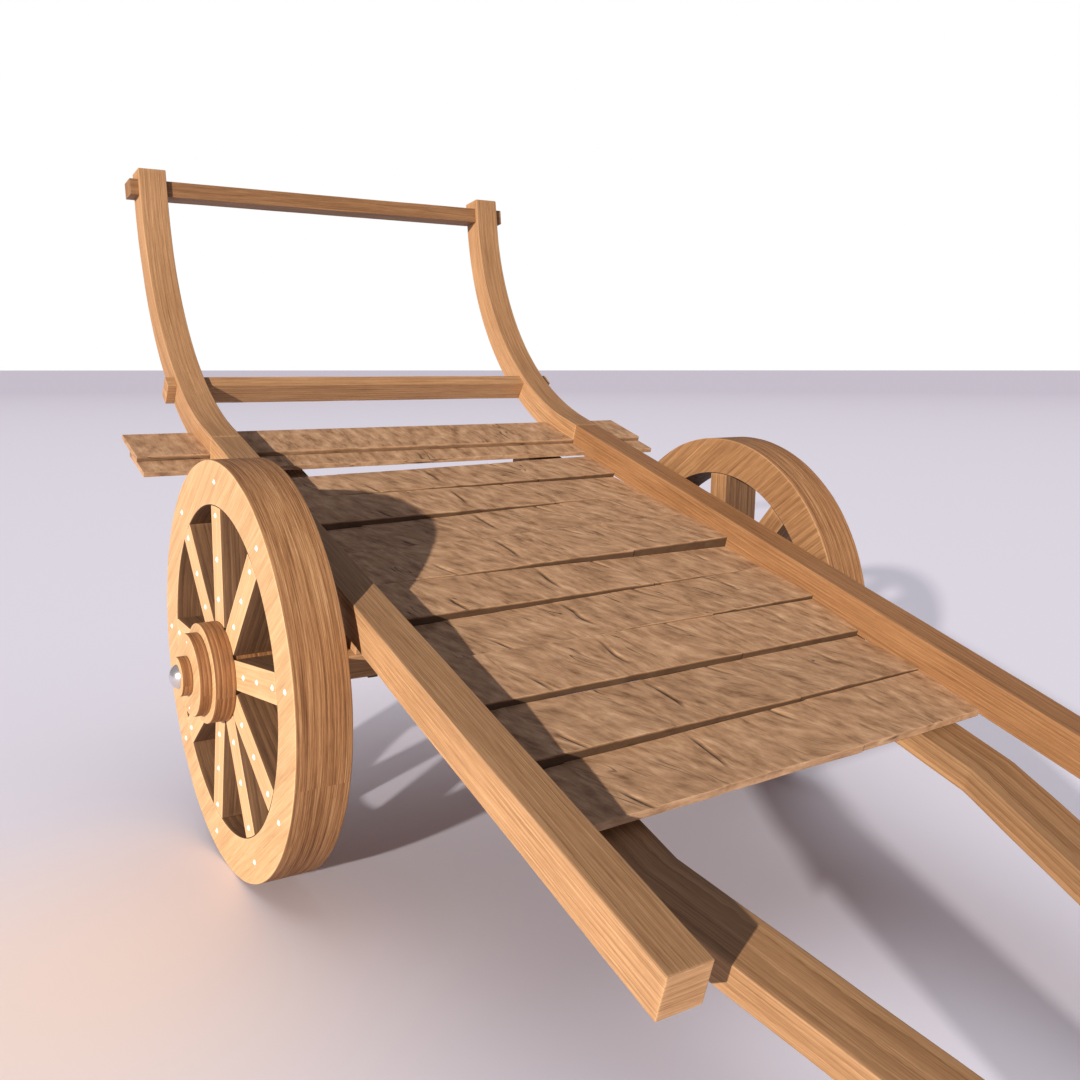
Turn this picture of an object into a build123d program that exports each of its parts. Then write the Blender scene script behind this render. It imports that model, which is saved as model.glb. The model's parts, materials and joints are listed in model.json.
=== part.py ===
from build123d import *
import math
import os

# Two-wheeled wooden farm cart, standing pitched forward on its wheels and its two shaft tips.
# Everything is drawn in the level cart frame: X to the cart's right, Y to the rear, Z up, with
# the middle of the axle at the origin. The last section pitches the cart until it rests on the
# ground, and puts the origin under the middle of the whole cart. All sizes are in millimetres.

# ---- wheels -------------------------------------------------------------------------------
wheel_radius = 500.0
rim_depth = 106.0
tread_width = 125.0
wheel_gap = 39.0             # between a rail's outer side and the wheel's inner face
spoke_width = 71.0
# Where the wheelwright set the spokes, in degrees from the rear. The spacing wanders by hand.
spoke_angles = [33.5, 74.5, 115.0, 155.5, 196.0, 227.0, 266.0, 306.0, 345.5]
spoke_tenon_width = 34.0
spoke_tenon_height = 60.0
foot_tenon = 30.0
tongue_tenon = 40.0
nave_radius = 112.0
nave_inner_end = 20.0        # how far the nave stands inside the wheel's inner face
flange_radius = 119.0
flange_thickness = 49.0
cap_radius = 98.0
cap_thickness = 29.0
collar_radius = 46.5
collar_thickness = 24.0
dome_radius = 29.0
dome_height = 18.5
dome_bolt_radius = 8.0
dome_bolt_length = 90.0

# ---- wheel nails --------------------------------------------------------------------------
rim_nail_inset = 50.0        # from the tread to the nail in the rim
spoke_nail_inset = 22.0      # from the rim's inside to a spoke's outermost nail
hub_nail_gap = 54.0          # from the flange to a spoke's innermost nail
middle_nail_share = 0.477    # how far out the middle nail sits between those two
nail_head_radius = 6.0
nail_head_height = 4.0
nail_point_share = 1 / 3     # the top of the cone, as a share of its base
nail_shank_radius = 2.0
nail_length = 32.0
cap_nail_inset = 18.0        # from the cap's edge
cap_nail_angles = [75.0, 255.0]
cap_nail_head_radius = 3.5
cap_nail_head_height = 1.5

# ---- axle ---------------------------------------------------------------------------------
arm_radius = 32.0
beam_width = 150.0
beam_height = 70.0
shaft_block_length = 150.0
rail_block_width = 76.0
axle_bolt_radius = 7.0
axle_bolt_spread = 42.0      # each bolt or dowel lies this far before or behind the axle
bolt_head_radius = 15.0
bolt_head_height = 8.0
bolt_nut_size = 26.0
bolt_nut_height = 11.0
bolt_washer_size = 44.0
bolt_washer_thickness = 4.0
dowel_radius = 10.0
dowel_bite = 35.0            # how deep a dowel goes into the rail and into the axle beam

# ---- rails and horns ----------------------------------------------------------------------
bed_half_width = 579.0
rail_width = 87.5
rail_depth = 86.0
rail_bottom = 242.0
rail_front = -1440.0
rail_rear = 704.0
horn_straight = 80.0         # from the rail's end to the start of the bend
horn_bend_radius = 850.0     # of the concave side
horn_bend_angle = 66.0
horn_tip = 100.0             # straight stretch above the bend
horn_tenon_length = 60.0
horn_tenon_width = 30.0
horn_tenon_height = 30.0

# ---- crossbars between the horns ----------------------------------------------------------
crossbar_inset = 14.5        # behind the horns' concave side
crossbar_overhang = 27.0     # past each horn's outer side
upper_bar_height = 52.0
upper_bar_drop = 32.0        # below the horns' top ends
lower_bar_height = 44.0
lower_bar_angle = 20.7       # how far round the bend the lower bar sits
peg_radius = 6.0
peg_bite = 10.0              # how far a peg goes on into the horn

# ---- shafts -------------------------------------------------------------------------------
shaft_set_in = 55.0          # from a rail's inner side to the shaft's outer side
shaft_width = 128.5
shaft_depth = 58.0
shaft_top = 223.0
shaft_rear = 780.0
shaft_kink = -1151.0
shaft_turn = 13.6            # degrees that the front stretch turns towards the middle
shaft_tip = -2255.0

# ---- deck planks, front to rear -----------------------------------------------------------
# Each seam is given where it meets the left and the right rail.
deck_seams = [
    (-1070.0, -1022.0), (-880.0, -841.0), (-685.0, -644.0), (-505.0, -476.0), (-321.0, -277.0),
    (-150.0, -121.0), (38.0, 81.0), (217.0, 275.0), (386.0, 446.0), (545.0, 608.0),
]
# Heights of each plank's top above the shafts: front left, front right, rear left, rear right.
# The boards have cupped and twisted, so that no two corners agree.
deck_tops = [
    (42.0, 33.0, 23.0, 33.0), (49.0, 38.0, 32.0, 19.0), (49.0, 36.0, 46.0, 39.0),
    (40.0, 50.0, 24.0, 35.0), (47.0, 35.0, 46.0, 28.0), (42.0, 60.0, 36.0, 43.0),
    (34.0, 43.0, 17.0, 29.0), (40.0, 28.0, 41.0, 19.0), (39.0, 34.0, 33.0, 29.0),
]
plank_thickness = 20.0
plank_seam = 0.6

# ---- rear boards --------------------------------------------------------------------------
board_overhang = 199.5       # past each rail's outer side
board_thickness = 15.0
lower_board_front = 628.0
lower_board_rear = 790.0
lower_board_bottom = 245.5
upper_board_front = 708.0
upper_board_rear = 887.0

# ---- fits ---------------------------------------------------------------------------------
running_fit = 0.08           # radial, between an arm and its hub
side_play = 0.5              # between a hub and what holds it on its arm
wood_fit = 0.2               # round tenons, boards and bars in their housings
drive_fit = 0.1              # radial, round nails, pegs, dowels and bolts
cut_over = 1.0               # how far a cut runs past a face that it opens

rail_top = rail_bottom + rail_depth
rail_outer = bed_half_width + rail_width
rail_middle = bed_half_width + rail_width / 2
wheel_inner = rail_outer + wheel_gap
wheel_outer = wheel_inner + tread_width
nave_end = wheel_inner - nave_inner_end
flange_end = wheel_outer + flange_thickness
cap_end = flange_end + cap_thickness
collar_end = cap_end + side_play + collar_thickness
rim_inner_radius = wheel_radius - rim_depth
rim_nail_reach = wheel_radius - rim_nail_inset
outer_nail_reach = rim_inner_radius - spoke_nail_inset
inner_nail_reach = flange_radius + hub_nail_gap
middle_nail_reach = inner_nail_reach + middle_nail_share * (outer_nail_reach - inner_nail_reach)
spoke_nail_reaches = [outer_nail_reach, middle_nail_reach, inner_nail_reach]
cap_nail_reach = cap_radius - cap_nail_inset
board_half_length = rail_outer + board_overhang
shaft_bottom = shaft_top - shaft_depth
shaft_outer = bed_half_width - shaft_set_in
shaft_inner = shaft_outer - shaft_width
shaft_middle = shaft_outer - shaft_width / 2
beam_top = beam_height / 2
crossbar_depth = rail_depth - crossbar_inset
long_cut = 5000.0            # longer than any piece, for cutting planes

pieces = {}


def block(left, right, front, rear, bottom, top):
    """A squared timber between two corners."""
    centre = ((left + right) / 2, (front + rear) / 2, (bottom + top) / 2)
    return Pos(*centre) * Box(right - left, rear - front, top - bottom)


def rod(start, end, radius):
    """A round bar between two points."""
    axis = Vector(*end) - Vector(*start)
    base = Plane(origin=start, z_dir=axis)
    return base * Cylinder(radius, axis.length, align=(Align.CENTER, Align.CENTER, Align.MIN))


def mirrored(piece):
    """The same piece for the left side of the cart."""
    return mirror(piece, about=Plane.YZ)


# ---- horns --------------------------------------------------------------------------------
bend_start = rail_rear + horn_straight
bend_centre = (bend_start, rail_top + horn_bend_radius)


def horn_place(distance):
    """Place on the concave side, and its slope in degrees, this far along from the bend's start."""
    bend_length = math.radians(horn_bend_angle) * horn_bend_radius
    slope = min(distance, bend_length) / horn_bend_radius
    past = max(distance - bend_length, 0.0)
    y = bend_centre[0] + horn_bend_radius * math.sin(slope) + past * math.cos(slope)
    z = bend_centre[1] - horn_bend_radius * math.cos(slope) + past * math.sin(slope)
    return y, z, math.degrees(slope)


horn_length = math.radians(horn_bend_angle) * horn_bend_radius + horn_tip


def bar_at(distance, length, height, front, rear):
    """A crossbar lying across the horns, from front to rear of their section."""
    y, z, slope = horn_place(distance)
    middle = Pos(0, 0, -(front + rear) / 2) * Box(length, height, rear - front)
    return Pos(0, y, z) * Rot(X=slope) * middle


def horn_blank():
    concave_arc = CenterArc(bend_centre, horn_bend_radius, -90, horn_bend_angle)
    convex_arc = CenterArc(bend_centre, horn_bend_radius + rail_depth, -90, horn_bend_angle)
    tip = Vector(*horn_place(horn_length)[:2])
    along = Vector(math.cos(math.radians(horn_bend_angle)), math.sin(math.radians(horn_bend_angle)))
    tip_back = convex_arc @ 1 + along * horn_tip
    outline = [
        Line((rail_rear, rail_bottom), (bend_start, rail_bottom)),
        convex_arc,
        Line(convex_arc @ 1, tip_back),
        Line(tip_back, tip),
        Line(tip, concave_arc @ 1),
        concave_arc,
        Line((bend_start, rail_top), (rail_rear, rail_top)),
        Line((rail_rear, rail_top), (rail_rear, rail_bottom)),
    ]
    side = Plane.YZ.offset(bed_half_width) * make_face(Curve() + outline)
    return extrude(side, rail_width)


# ---- openings that the rear boards pass through -------------------------------------------
upper_board_bottom = lower_board_bottom + board_thickness
upper_board_top = upper_board_bottom + board_thickness
board_housings = [
    block(bed_half_width - cut_over, rail_outer + cut_over, lower_board_front - wood_fit,
          lower_board_rear + wood_fit, rail_bottom - rail_depth, upper_board_bottom + wood_fit),
    block(bed_half_width - cut_over, rail_outer + cut_over, upper_board_front - wood_fit,
          upper_board_rear + wood_fit, upper_board_bottom, upper_board_top + wood_fit),
]
tenon_middle = (upper_board_top + rail_top) / 2


def horn_tenon(clearance):
    half_width = horn_tenon_width / 2 + clearance
    half_height = horn_tenon_height / 2 + clearance
    return block(rail_middle - half_width, rail_middle + half_width,
                 rail_rear - horn_tenon_length - clearance, rail_rear,
                 tenon_middle - half_height, tenon_middle + half_height)


# ---- crossbars and their pegs -------------------------------------------------------------
bar_length = 2 * (rail_outer + crossbar_overhang)
upper_bar_place = horn_length - upper_bar_drop - upper_bar_height / 2
lower_bar_place = math.radians(lower_bar_angle) * horn_bend_radius
bars = {"upper_crossbar": (upper_bar_place, upper_bar_height),
        "lower_crossbar": (lower_bar_place, lower_bar_height)}
peg_holes = []
pegs = []
peg_length = crossbar_depth + peg_bite
peg_centre = Pos(0, 0, peg_length / 2 - rail_depth)
hole_centre = peg_centre * Pos(0, 0, wood_fit / 2)
for place, height in bars.values():
    y, z, slope = horn_place(place)
    for side in (-1, 1):
        seat = Pos(side * rail_middle, y, z) * Rot(X=slope)
        pegs.append(seat * peg_centre * Cylinder(peg_radius, peg_length))
        peg_holes.append(seat * hole_centre * Cylinder(peg_radius + drive_fit, peg_length + wood_fit))
for name, (place, height) in bars.items():
    bar = bar_at(place, bar_length, height, crossbar_inset, rail_depth)
    pieces[name] = bar - peg_holes
pieces["crossbar_pegs"] = Compound(children=pegs)

horn = horn_blank() + horn_tenon(0.0) - board_housings
for place, height in bars.values():
    horn -= bar_at(place, 2 * bar_length, height + 2 * wood_fit, crossbar_inset - wood_fit, 2 * rail_depth)
horn -= peg_holes
pieces["horn_right"] = horn
pieces["horn_left"] = mirrored(horn)

# ---- rails, with their seats on the axle --------------------------------------------------
dowels = []
dowel_holes = []
dowel_bottom = beam_top - dowel_bite
dowel_top = rail_bottom + dowel_bite
for y in (-axle_bolt_spread, axle_bolt_spread):
    dowels.append(rod((rail_middle, y, dowel_bottom), (rail_middle, y, dowel_top), dowel_radius))
    dowel_holes.append(rod((rail_middle, y, dowel_bottom - wood_fit),
                           (rail_middle, y, dowel_top + wood_fit), dowel_radius + drive_fit))
rail = block(bed_half_width, rail_outer, rail_front, rail_rear, rail_bottom, rail_top)
rail = rail - board_housings - horn_tenon(wood_fit) - dowel_holes
pieces["rail_right"] = rail
pieces["rail_left"] = mirrored(rail)

rail_block = block(rail_middle - rail_block_width / 2, rail_middle + rail_block_width / 2,
                   -beam_width / 2, beam_width / 2, beam_top, rail_bottom) - dowel_holes
pieces["rail_block_right"] = rail_block
pieces["rail_block_left"] = mirrored(rail_block)
pieces["rail_dowels"] = Compound(children=dowels + [mirrored(dowel) for dowel in dowels])

# ---- rear boards, the upper one lapped over the lower one ---------------------------------
pieces["rear_board_lower"] = block(-board_half_length, board_half_length, lower_board_front,
                                   lower_board_rear, lower_board_bottom, upper_board_bottom)
pieces["rear_board_upper"] = block(-board_half_length, board_half_length, upper_board_front,
                                   upper_board_rear, upper_board_bottom, upper_board_top)


# ---- deck planks --------------------------------------------------------------------------
def plank_end(x, front, rear, front_top, rear_top):
    """A plank's end face against a rail. Its underside stops at the shafts' top."""
    front_under = max(shaft_top + front_top - plank_thickness, shaft_top)
    rear_under = max(shaft_top + rear_top - plank_thickness, shaft_top)
    corners = [(x, front, front_under), (x, rear, rear_under),
               (x, rear, shaft_top + rear_top), (x, front, shaft_top + front_top)]
    return make_face(Polyline(*corners, close=True))


for index, (front_left, front_right, rear_left, rear_right) in enumerate(deck_tops):
    front_seam = deck_seams[index]
    rear_seam = deck_seams[index + 1]
    left_end = plank_end(-bed_half_width, front_seam[0] + plank_seam / 2, rear_seam[0] - plank_seam / 2,
                         front_left, rear_left)
    right_end = plank_end(bed_half_width, front_seam[1] + plank_seam / 2, rear_seam[1] - plank_seam / 2,
                          front_right, rear_right)
    pieces[f"deck_plank_{index + 1}"] = loft([left_end, right_end], ruled=True)

# ---- shafts, seated on blocks on the axle beam --------------------------------------------
turn = math.radians(shaft_turn)
mitre_shift = shaft_width * math.tan(turn / 2)
run = -shaft_tip + shaft_kink
outer_kink = shaft_kink - mitre_shift
tip_inner = shaft_inner - run * math.tan(turn)
tip_outer = shaft_outer - (outer_kink - shaft_tip) * math.tan(turn)
shaft_plan = Polyline(
    (shaft_inner, shaft_rear), (shaft_inner, shaft_kink), (tip_inner, shaft_tip),
    (tip_outer, shaft_tip), (shaft_outer, outer_kink), (shaft_outer, shaft_rear), close=True)
shaft = extrude(Plane.XY.offset(shaft_bottom) * make_face(shaft_plan), shaft_depth)
shaft_block = block(shaft_inner, shaft_outer, -shaft_block_length / 2, shaft_block_length / 2,
                    beam_top, shaft_bottom)

bolts = []
bolt_holes = []
head_base = shaft_top - bolt_head_height - wood_fit
washer_top = -beam_top
washer_bottom = washer_top - bolt_washer_thickness
shank_end = washer_bottom - bolt_nut_height
half_washer = bolt_washer_size / 2
half_nut = bolt_nut_size / 2
for y in (-axle_bolt_spread, axle_bolt_spread):
    shank = rod((shaft_middle, y, shank_end), (shaft_middle, y, head_base), axle_bolt_radius)
    head = rod((shaft_middle, y, head_base), (shaft_middle, y, head_base + bolt_head_height),
               bolt_head_radius)
    washer = block(shaft_middle - half_washer, shaft_middle + half_washer, y - half_washer,
                   y + half_washer, washer_bottom, washer_top)
    nut = block(shaft_middle - half_nut, shaft_middle + half_nut, y - half_nut, y + half_nut,
                shank_end, washer_bottom)
    bolts.append(shank + head + washer + nut)
    hole = rod((shaft_middle, y, washer_top - cut_over), (shaft_middle, y, shaft_top + cut_over),
               axle_bolt_radius + drive_fit)
    sink = rod((shaft_middle, y, head_base), (shaft_middle, y, shaft_top + cut_over),
               bolt_head_radius + wood_fit)
    bolt_holes += [hole, sink]
shaft = shaft - bolt_holes
pieces["shaft_right"] = shaft
pieces["shaft_left"] = mirrored(shaft)
shaft_block = shaft_block - bolt_holes
pieces["shaft_block_right"] = shaft_block
pieces["shaft_block_left"] = mirrored(shaft_block)
pieces["axle_bolts"] = Compound(children=bolts + [mirrored(bolt) for bolt in bolts])

# ---- axle beam with its turned arms -------------------------------------------------------
beam_end = nave_end - side_play
dome_bolt_tip = cap_end - dome_bolt_length
beam = block(-beam_end, beam_end, -beam_width / 2, beam_width / 2, -beam_top, beam_top)
beam += rod((-cap_end - side_play, 0, 0), (cap_end + side_play, 0, 0), arm_radius)
bolt_bore = rod((dome_bolt_tip - wood_fit, 0, 0), (collar_end + cut_over, 0, 0),
                dome_bolt_radius + drive_fit)
bores = bolt_holes + dowel_holes + [bolt_bore]
beam = beam - bores - [mirrored(bore) for bore in bores]
pieces["axle_beam"] = beam

collar = rod((cap_end + side_play, 0, 0), (collar_end, 0, 0), collar_radius) - bolt_bore
pieces["collar_right"] = collar
pieces["collar_left"] = mirrored(collar)

ball_radius = (dome_radius ** 2 + dome_height ** 2) / (2 * dome_height)
dome_base = math.degrees(math.asin(1 - dome_height / ball_radius))
dome_seat = Plane(origin=(collar_end, 0, 0), z_dir=(1, 0, 0))
dome = dome_seat * Sphere(ball_radius, arc_size1=dome_base, align=(Align.CENTER, Align.CENTER, Align.MIN))
dome_bolt = dome + rod((dome_bolt_tip, 0, 0), (collar_end, 0, 0), dome_bolt_radius)
pieces["dome_bolt_right"] = dome_bolt
pieces["dome_bolt_left"] = mirrored(dome_bolt)

# ---- wheels -------------------------------------------------------------------------------
arm_bore = rod((0, 0, 0), (2 * wheel_outer, 0, 0), arm_radius + running_fit)


def radial(reach, angle, x):
    """Point on a wheel, this far from its axle."""
    return (x, reach * math.cos(math.radians(angle)), reach * math.sin(math.radians(angle)))


def spoke_tenon(angle, inner, outer, clearance):
    """The square tenon that runs through a spoke's ends, along its length."""
    bar = Box(spoke_tenon_height + 2 * clearance, outer - inner, spoke_tenon_width + 2 * clearance)
    middle = (wheel_inner + wheel_outer) / 2
    return Pos(middle, 0, 0) * Rot(X=angle) * Pos(0, (inner + outer) / 2, 0) * bar


def spoke_body(angle, angle_before, angle_after):
    """A slab spoke as deep as the rim, mitred against its neighbours at the nave."""
    middle = (wheel_inner + wheel_outer) / 2
    slab = Pos(middle, 0, 0) * Rot(X=angle) * Pos(0, rim_inner_radius / 2, 0)
    slab = slab * Box(tread_width, rim_inner_radius, spoke_width)
    slab &= rod((wheel_inner, 0, 0), (wheel_outer, 0, 0), rim_inner_radius - wood_fit)
    slab -= rod((0, 0, 0), (2 * wheel_outer, 0, 0), nave_radius + wood_fit)
    for neighbour, side in ((angle_before, -1), (angle_after, 1)):
        mitre = (angle + neighbour) / 2
        beyond = Pos(middle, 0, 0) * Rot(X=mitre) * Pos(0, 0, side * (long_cut / 2 - wood_fit))
        slab -= beyond * Box(long_cut, long_cut, long_cut)
    return slab


def nail(x, reach, angle, head_radius, head_height):
    """A nail driven into a face that looks outwards, with a shallow cone for its head."""
    point = radial(reach, angle, x)
    base = Plane(origin=point, z_dir=(1, 0, 0))
    head = base * Cone(head_radius, head_radius * nail_point_share, head_height,
                       align=(Align.CENTER, Align.CENTER, Align.MIN))
    return head + rod(radial(reach, angle, x - nail_length), point, nail_shank_radius)


def nail_hole(x, reach, angle):
    return rod(radial(reach, angle, x - nail_length - wood_fit), radial(reach, angle, x + cut_over),
               nail_shank_radius + drive_fit)


rim = rod((wheel_inner, 0, 0), (wheel_outer, 0, 0), wheel_radius)
rim -= rod((0, 0, 0), (2 * wheel_outer, 0, 0), rim_inner_radius)
nave = rod((nave_end, 0, 0), (wheel_outer, 0, 0), nave_radius) - arm_bore
flange = rod((wheel_outer, 0, 0), (flange_end, 0, 0), flange_radius) - arm_bore
cap = rod((flange_end, 0, 0), (cap_end, 0, 0), cap_radius) - arm_bore
nails = []
spokes = []
count = len(spoke_angles)
for index, angle in enumerate(spoke_angles):
    angle_before = spoke_angles[index - 1] - (360 if index == 0 else 0)
    angle_after = spoke_angles[(index + 1) % count] + (360 if index == count - 1 else 0)
    spoke = spoke_body(angle, angle_before, angle_after)
    spoke += spoke_tenon(angle, nave_radius - foot_tenon, rim_inner_radius + tongue_tenon, 0.0)
    nave -= spoke_tenon(angle, nave_radius - foot_tenon - wood_fit, rim_inner_radius, wood_fit)
    rim -= spoke_tenon(angle, nave_radius, rim_inner_radius + tongue_tenon + wood_fit, wood_fit)
    rim -= nail_hole(wheel_outer, rim_nail_reach, angle)
    nails.append(nail(wheel_outer, rim_nail_reach, angle, nail_head_radius, nail_head_height))
    for reach in spoke_nail_reaches:
        spoke -= nail_hole(wheel_outer, reach, angle)
        nails.append(nail(wheel_outer, reach, angle, nail_head_radius, nail_head_height))
    spokes.append(spoke)
for angle in cap_nail_angles:
    nails.append(nail(cap_end, cap_nail_reach, angle, cap_nail_head_radius, cap_nail_head_height))
    cap -= nail_hole(cap_end, cap_nail_reach, angle)
    flange -= nail_hole(cap_end, cap_nail_reach, angle)

wheel = {"wheel_rim": rim, "nave": nave, "hub_flange": flange, "hub_cap": cap,
         "wheel_nails": Compound(children=nails)}
for index, spoke in enumerate(spokes):
    wheel[f"spoke_{index + 1}"] = spoke
for name, piece in wheel.items():
    pieces[f"{name}_right"] = piece
    pieces[f"{name}_left"] = mirrored(piece)

# ---- the cart at rest on the ground -------------------------------------------------------
# Pitched until the shafts' lower edges and the wheels touch the same level ground.
tip_reach = math.hypot(shaft_tip, shaft_bottom)
pitch = math.degrees(math.atan2(shaft_bottom, -shaft_tip) + math.asin(wheel_radius / tip_reach))
stance = Pos(0, 0, wheel_radius) * Rot(X=pitch)
boxes = [piece.moved(stance).bounding_box() for piece in pieces.values()]
middle_y = (min(box.min.Y for box in boxes) + max(box.max.Y for box in boxes)) / 2
os.makedirs("parts", exist_ok=True)
for name, piece in pieces.items():
    export_step(piece.moved(Pos(0, -middle_y, 0) * stance), f"parts/{name}.step")
print(f"axle at y {-middle_y:.4f}, z {wheel_radius:.4f}; pitch {pitch:.4f} degrees")
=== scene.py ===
import json
import math

import bmesh
import bpy
import numpy as np
from mathutils import Matrix, Vector


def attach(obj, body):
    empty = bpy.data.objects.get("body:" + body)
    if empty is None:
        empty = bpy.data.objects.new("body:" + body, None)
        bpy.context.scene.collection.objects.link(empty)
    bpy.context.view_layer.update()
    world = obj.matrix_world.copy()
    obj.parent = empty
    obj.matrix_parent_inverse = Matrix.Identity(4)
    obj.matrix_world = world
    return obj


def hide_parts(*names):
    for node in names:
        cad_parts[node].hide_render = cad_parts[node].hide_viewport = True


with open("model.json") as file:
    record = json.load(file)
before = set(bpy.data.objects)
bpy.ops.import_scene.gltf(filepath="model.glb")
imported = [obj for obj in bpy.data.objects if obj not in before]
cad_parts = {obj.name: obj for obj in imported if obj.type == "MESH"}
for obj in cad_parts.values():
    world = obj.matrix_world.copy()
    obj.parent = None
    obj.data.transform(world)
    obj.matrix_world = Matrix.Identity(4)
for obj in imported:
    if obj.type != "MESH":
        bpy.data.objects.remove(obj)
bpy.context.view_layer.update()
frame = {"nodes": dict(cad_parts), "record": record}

# ---- Axle beam ----------------------------------------------------------------------------
# One heavy squared timber under the bed, with an arm turned on each end for the wheel to run on.
# Its edges are eased with a drawknife and its faces keep shallow hollows from the adze.

# The cart rests pitched forward on its wheels and shaft tips, while its timbers are squared to each
# other. So each piece is made in the cart's own level frame, with the middle of the axle at the
# origin, and is then set on the ground by one turn and one move.
joints = {joint["name"]: joint for joint in frame["record"]["behaviour"]["joints"]}
mounts = {mount["name"]: mount for mount in frame["record"]["mounts"]}
shaft_heading = Vector(mounts["shaft_tip_left"]["axis"])
pitch = math.atan2(-shaft_heading.z, -shaft_heading.y)
axle_place = Vector((0.0, *joints["left_wheel_spin"]["pos_m"][1:]))
stand = Matrix.Translation(axle_place) @ Matrix.Rotation(pitch, 4, "X")
SIDES = {"left": -1, "right": 1}


def numbers(items, key, width=1, kind=np.float32):
    """One property of each corner or face of a mesh, with a row for each."""
    values = np.empty(len(items) * width, kind)
    items.foreach_get(key, values)
    return values.reshape(-1, width) if width > 1 else values


def level_points(node):
    """The corners of a CAD node in the cart's level frame."""
    back = np.array(stand.inverted())
    return numbers(frame["nodes"][node].data.vertices, "co", 3) @ back[:3, :3].T + back[:3, 3]


def level_box(node):
    """The lowest and highest corner of a CAD node in the cart's level frame."""
    points = level_points(node)
    return points.min(axis=0), points.max(axis=0)


def lattice(cells, seed):
    """A fixed scatter of heights from -1 to 1, one for each corner of a grid of cells."""
    mixed = (cells[..., 0] * 73856093) ^ (cells[..., 1] * 19349663) ^ (cells[..., 2] * 83492791)
    mixed = (mixed ^ (seed * 7919 + 104729)) & 0xFFFFFFFF
    mixed = ((mixed ^ (mixed >> 13)) * 1274126177) & 0xFFFFFFFF
    mixed = ((mixed ^ (mixed >> 15)) * 1103515245) & 0xFFFFFFFF
    return (mixed ^ (mixed >> 16)) / 2.0 ** 31 - 1.0


def ripple(points, size, seed):
    """Smooth uneven waves, from -1 to 1, whose hills lie about this many metres apart."""
    at = points / np.asarray(size, float)
    low = np.floor(at).astype(np.int64)
    part = at - low
    part = part * part * (3 - 2 * part)
    total = np.zeros(len(points))
    for corner in np.ndindex(2, 2, 2):
        share = np.where(np.array(corner) == 1, part, 1 - part).prod(axis=-1)
        total += share * lattice(low + np.array(corner), seed)
    return total


def marks(length, spacing, edge, extra=()):
    """Places along a timber where its skin has a row of corners, closer together at both ends."""
    middle = np.linspace(edge, length - edge, max(2, round((length - 2 * edge) / spacing) + 1))
    ends = [0.0, edge * 0.4, length - edge * 0.4, length]
    return np.unique(np.round(np.concatenate([middle, ends, list(extra)]), 7))


def sheet_of_quads(grid, turned_over):
    """The faces between the rows and columns of one side of a timber."""
    a, b, c, d = grid[:-1, :-1], grid[1:, :-1], grid[1:, 1:], grid[:-1, 1:]
    order = (a, d, c, b) if turned_over else (a, b, c, d)
    return np.stack([corner.ravel() for corner in order], axis=1)


def squared_timber(size, spacing, edge, hollow, seed, extra=()):
    """The skin of a squared timber with worn edges and hand-worked faces.

    The first direction is the length. spacing is the distance between corners along and across
    it, edge is how far its edges are rounded, and hollow is how deep the tool marks go. Returns
    its corners, the same corners on the stock before it was worked, its faces, and how worn each
    corner is."""
    size = np.asarray(size, float)
    rows = [marks(size[0], spacing[0], edge, extra)]
    rows += [marks(size[axis], spacing[1], edge) for axis in (1, 2)]
    counts = [len(row) for row in rows]
    on_skin = np.zeros(counts, bool)
    for axis in range(3):
        on_skin[tuple([0, -1] if other == axis else slice(None) for other in range(3))] = True
    index = np.full(counts, -1)
    index[on_skin] = np.arange(on_skin.sum())
    stock = np.stack(np.meshgrid(*rows, indexing="ij"), axis=-1)[on_skin]
    faces = np.concatenate([
        sheet_of_quads(index[0], True), sheet_of_quads(index[-1], False),
        sheet_of_quads(index[:, 0], False), sheet_of_quads(index[:, -1], True),
        sheet_of_quads(index[:, :, 0], True), sheet_of_quads(index[:, :, -1], False)])
    to_sides = np.sort(np.minimum(stock, size - stock), axis=1)
    worn_strip = 2.5 * edge
    wear = np.clip(1 - to_sides[:, 1] / worn_strip, 0, 1)
    wear *= 0.65 + 0.35 * ripple(stock, (0.09, 0.03, 0.03), seed + 3)
    ease = edge * (0.66 + 0.34 * ripple(stock, (0.12, 0.5, 0.5), seed + 1))[:, None]
    core = np.clip(stock, ease, size - ease)
    out = stock - core
    out = out / np.maximum(np.linalg.norm(out, axis=1, keepdims=True), 1e-9)
    long_cuts, short_cuts = (0.22, 0.07, 0.07), 0.025
    cut = 0.5 + 0.35 * ripple(stock, long_cuts, seed) + 0.15 * ripple(stock, short_cuts, seed + 2)
    worked = core + out * (ease - hollow * np.clip(cut, 0, 1)[:, None])
    return worked, stock, faces, wear


def mesh_object(name, points, faces, material):
    """A new object in the scene, from lists of corners and faces."""
    mesh = bpy.data.meshes.new(name)
    mesh.from_pydata(points, [], faces)
    mesh.materials.append(material)
    made = bpy.data.objects.new(name, mesh)
    bpy.context.scene.collection.objects.link(made)
    return made


def soften(mesh, below):
    """Shades every edge round that turns by less than this many degrees."""
    mesh.polygons.foreach_set("use_smooth", np.ones(len(mesh.polygons), bool))
    mesh.set_sharp_from_angle(angle=math.radians(below))


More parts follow.
